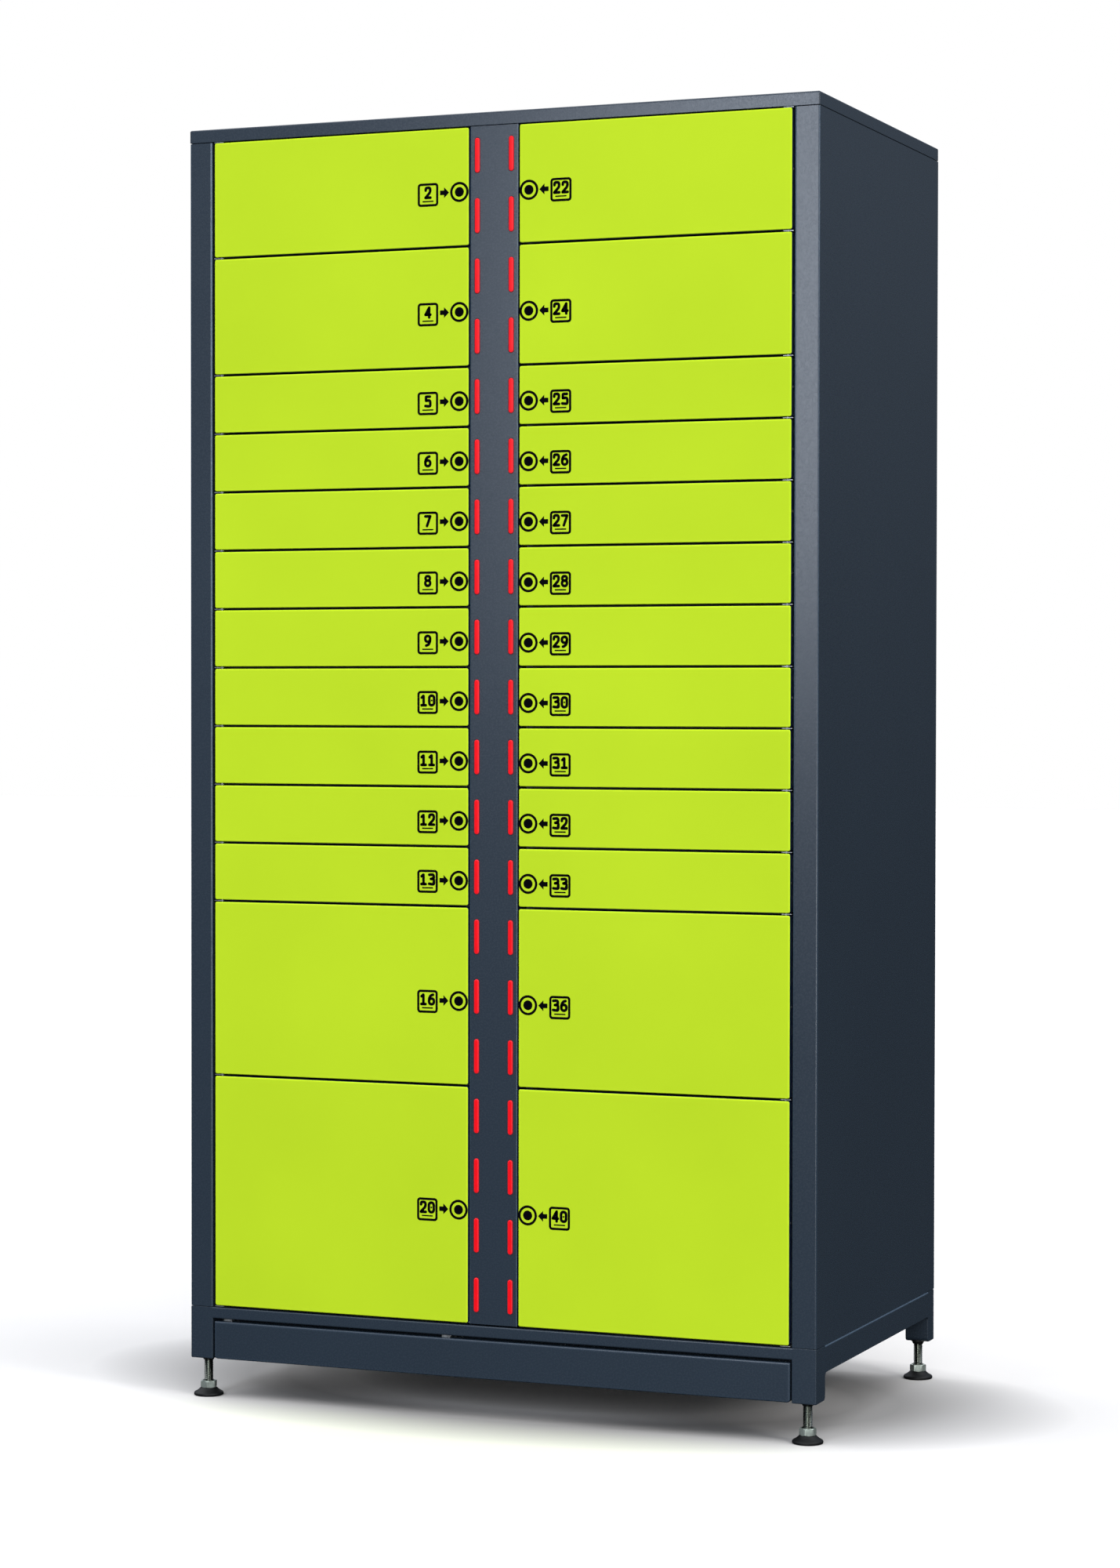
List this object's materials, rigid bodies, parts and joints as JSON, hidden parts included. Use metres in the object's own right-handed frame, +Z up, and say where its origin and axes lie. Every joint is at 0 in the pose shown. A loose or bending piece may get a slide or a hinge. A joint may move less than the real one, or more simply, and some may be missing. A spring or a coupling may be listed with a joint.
{
  "type": "parcel locker",
  "caption": "Free-standing parcel locker: columns of hinged pan doors on both sides of a central light and lock post, folded steel case, low base with pull-off cover, levelling feet.",
  "frame": {"origin": "on the floor, at the middle of the object's footprint", "axes": "+Z up, the doors face -Y, +X to the right of someone facing the doors"},
  "size_m": [1.0062, 0.593, 1.92],
  "materials": {
    "anthracite": "fine-texture powder coat, satin",
    "rack_coat": "fine-texture powder coat, satin",
    "lime_door": "smooth powder coat, satin",
    "zinc": "bright zinc plate",
    "foot_zinc": "zinc plate with a slight yellow passivation",
    "foot_black": "matt moulded polyamide",
    "red_bar": "glossy clear red lens",
    "lock_black": "moulded",
    "control_black": "moulded, fine texture",
    "supply_steel": "perforated sheet",
    "trunk_plastic": "extruded, satin",
    "inlet_black": "moulded"
  },
  "bodies": {
    "cabinet": {"base_frame": "anthracite", "side_panel_left": "anthracite", "side_panel_right": "anthracite", "rack_left": "rack_coat", "rack_right": "rack_coat", "back_panel": "anthracite", "top_cap": "anthracite", "post_cover": "anthracite", "light_strip_left": "red_bar", "light_strip_right": "red_bar", "hinge_rod_left": "zinc", "hinge_rod_right": "zinc", "hinge_ladder_left": "zinc", "hinge_ladder_right": "zinc", "lock_rail_left": "lock_black", "lock_rail_right": "lock_black", "cable_trunk": "trunk_plastic", "control_box": "control_black", "power_supply": "supply_steel", "power_inlet": "inlet_black", "plinth_clip_left": "zinc", "plinth_clip_middle": "zinc"},
    "plinth_cover_body": {"plinth_cover": "anthracite"},
    "foot_front_left": {"foot_pad_fl": "foot_black", "foot_stem_fl": "foot_zinc"},
    "foot_front_right": {"foot_pad_fr": "foot_black", "foot_stem_fr": "foot_zinc"},
    "foot_back_left": {"foot_pad_bl": "foot_black", "foot_stem_bl": "foot_zinc"},
    "foot_back_right": {"foot_pad_br": "foot_black", "foot_stem_br": "foot_zinc"},
    "door_02_body": {"door_02": "lime_door"},
    "door_04_body": {"door_04": "lime_door"},
    "door_05_body": {"door_05": "lime_door"},
    "door_06_body": {"door_06": "lime_door"},
    "door_07_body": {"door_07": "lime_door"},
    "door_08_body": {"door_08": "lime_door"},
    "door_09_body": {"door_09": "lime_door"},
    "door_10_body": {"door_10": "lime_door"},
    "door_11_body": {"door_11": "lime_door"},
    "door_12_body": {"door_12": "lime_door"},
    "door_13_body": {"door_13": "lime_door"},
    "door_16_body": {"door_16": "lime_door"},
    "door_20_body": {"door_20": "lime_door"},
    "door_22_body": {"door_22": "lime_door"},
    "door_24_body": {"door_24": "lime_door"},
    "door_25_body": {"door_25": "lime_door"},
    "door_26_body": {"door_26": "lime_door"},
    "door_27_body": {"door_27": "lime_door"},
    "door_28_body": {"door_28": "lime_door"},
    "door_29_body": {"door_29": "lime_door"},
    "door_30_body": {"door_30": "lime_door"},
    "door_31_body": {"door_31": "lime_door"},
    "door_32_body": {"door_32": "lime_door"},
    "door_33_body": {"door_33": "lime_door"},
    "door_36_body": {"door_36": "lime_door"},
    "door_40_body": {"door_40": "lime_door"}
  },
  "joints": [
    {"name": "plinth_cover_pull", "type": "slide", "parent": "cabinet", "child": "plinth_cover_body", "axis": [0, -1, 0], "range_m": [0, 0.12]},
    {"name": "foot_front_left_screw", "type": "slide", "parent": "cabinet", "child": "foot_front_left", "axis": [0, 0, -1], "range_m": [-0.03, 0.02]},
    {"name": "foot_front_right_screw", "type": "slide", "parent": "cabinet", "child": "foot_front_right", "axis": [0, 0, -1], "range_m": [-0.03, 0.02]},
    {"name": "foot_back_left_screw", "type": "slide", "parent": "cabinet", "child": "foot_back_left", "axis": [0, 0, -1], "range_m": [-0.03, 0.02]},
    {"name": "foot_back_right_screw", "type": "slide", "parent": "cabinet", "child": "foot_back_right", "axis": [0, 0, -1], "range_m": [-0.03, 0.02]},
    {"name": "door_02_hinge", "type": "hinge", "parent": "cabinet", "child": "door_02_body", "pos_m": [-0.4505, -0.286, 1.0205], "axis": [0, 0, -1], "range_deg": [0, 105]},
    {"name": "door_04_hinge", "type": "hinge", "parent": "cabinet", "child": "door_04_body", "pos_m": [-0.4505, -0.286, 1.0205], "axis": [0, 0, -1], "range_deg": [0, 105]},
    {"name": "door_05_hinge", "type": "hinge", "parent": "cabinet", "child": "door_05_body", "pos_m": [-0.4505, -0.286, 1.0205], "axis": [0, 0, -1], "range_deg": [0, 105]},
    {"name": "door_06_hinge", "type": "hinge", "parent": "cabinet", "child": "door_06_body", "pos_m": [-0.4505, -0.286, 1.0205], "axis": [0, 0, -1], "range_deg": [0, 105]},
    {"name": "door_07_hinge", "type": "hinge", "parent": "cabinet", "child": "door_07_body", "pos_m": [-0.4505, -0.286, 1.0205], "axis": [0, 0, -1], "range_deg": [0, 105]},
    {"name": "door_08_hinge", "type": "hinge", "parent": "cabinet", "child": "door_08_body", "pos_m": [-0.4505, -0.286, 1.0205], "axis": [0, 0, -1], "range_deg": [0, 105]},
    {"name": "door_09_hinge", "type": "hinge", "parent": "cabinet", "child": "door_09_body", "pos_m": [-0.4505, -0.286, 1.0205], "axis": [0, 0, -1], "range_deg": [0, 105]},
    {"name": "door_10_hinge", "type": "hinge", "parent": "cabinet", "child": "door_10_body", "pos_m": [-0.4505, -0.286, 1.0205], "axis": [0, 0, -1], "range_deg": [0, 105]},
    {"name": "door_11_hinge", "type": "hinge", "parent": "cabinet", "child": "door_11_body", "pos_m": [-0.4505, -0.286, 1.0205], "axis": [0, 0, -1], "range_deg": [0, 105]},
    {"name": "door_12_hinge", "type": "hinge", "parent": "cabinet", "child": "door_12_body", "pos_m": [-0.4505, -0.286, 1.0205], "axis": [0, 0, -1], "range_deg": [0, 105]},
    {"name": "door_13_hinge", "type": "hinge", "parent": "cabinet", "child": "door_13_body", "pos_m": [-0.4505, -0.286, 1.0205], "axis": [0, 0, -1], "range_deg": [0, 105]},
    {"name": "door_16_hinge", "type": "hinge", "parent": "cabinet", "child": "door_16_body", "pos_m": [-0.4505, -0.286, 1.0205], "axis": [0, 0, -1], "range_deg": [0, 105]},
    {"name": "door_20_hinge", "type": "hinge", "parent": "cabinet", "child": "door_20_body", "pos_m": [-0.4505, -0.286, 1.0205], "axis": [0, 0, -1], "range_deg": [0, 105]},
    {"name": "door_22_hinge", "type": "hinge", "parent": "cabinet", "child": "door_22_body", "pos_m": [0.4505, -0.286, 1.0205], "axis": [0, 0, 1], "range_deg": [0, 105]},
    {"name": "door_24_hinge", "type": "hinge", "parent": "cabinet", "child": "door_24_body", "pos_m": [0.4505, -0.286, 1.0205], "axis": [0, 0, 1], "range_deg": [0, 105]},
    {"name": "door_25_hinge", "type": "hinge", "parent": "cabinet", "child": "door_25_body", "pos_m": [0.4505, -0.286, 1.0205], "axis": [0, 0, 1], "range_deg": [0, 105]},
    {"name": "door_26_hinge", "type": "hinge", "parent": "cabinet", "child": "door_26_body", "pos_m": [0.4505, -0.286, 1.0205], "axis": [0, 0, 1], "range_deg": [0, 105]},
    {"name": "door_27_hinge", "type": "hinge", "parent": "cabinet", "child": "door_27_body", "pos_m": [0.4505, -0.286, 1.0205], "axis": [0, 0, 1], "range_deg": [0, 105]},
    {"name": "door_28_hinge", "type": "hinge", "parent": "cabinet", "child": "door_28_body", "pos_m": [0.4505, -0.286, 1.0205], "axis": [0, 0, 1], "range_deg": [0, 105]},
    {"name": "door_29_hinge", "type": "hinge", "parent": "cabinet", "child": "door_29_body", "pos_m": [0.4505, -0.286, 1.0205], "axis": [0, 0, 1], "range_deg": [0, 105]},
    {"name": "door_30_hinge", "type": "hinge", "parent": "cabinet", "child": "door_30_body", "pos_m": [0.4505, -0.286, 1.0205], "axis": [0, 0, 1], "range_deg": [0, 105]},
    {"name": "door_31_hinge", "type": "hinge", "parent": "cabinet", "child": "door_31_body", "pos_m": [0.4505, -0.286, 1.0205], "axis": [0, 0, 1], "range_deg": [0, 105]},
    {"name": "door_32_hinge", "type": "hinge", "parent": "cabinet", "child": "door_32_body", "pos_m": [0.4505, -0.286, 1.0205], "axis": [0, 0, 1], "range_deg": [0, 105]},
    {"name": "door_33_hinge", "type": "hinge", "parent": "cabinet", "child": "door_33_body", "pos_m": [0.4505, -0.286, 1.0205], "axis": [0, 0, 1], "range_deg": [0, 105]},
    {"name": "door_36_hinge", "type": "hinge", "parent": "cabinet", "child": "door_36_body", "pos_m": [0.4505, -0.286, 1.0205], "axis": [0, 0, 1], "range_deg": [0, 105]},
    {"name": "door_40_hinge", "type": "hinge", "parent": "cabinet", "child": "door_40_body", "pos_m": [0.4505, -0.286, 1.0205], "axis": [0, 0, 1], "range_deg": [0, 105]}
  ]
}
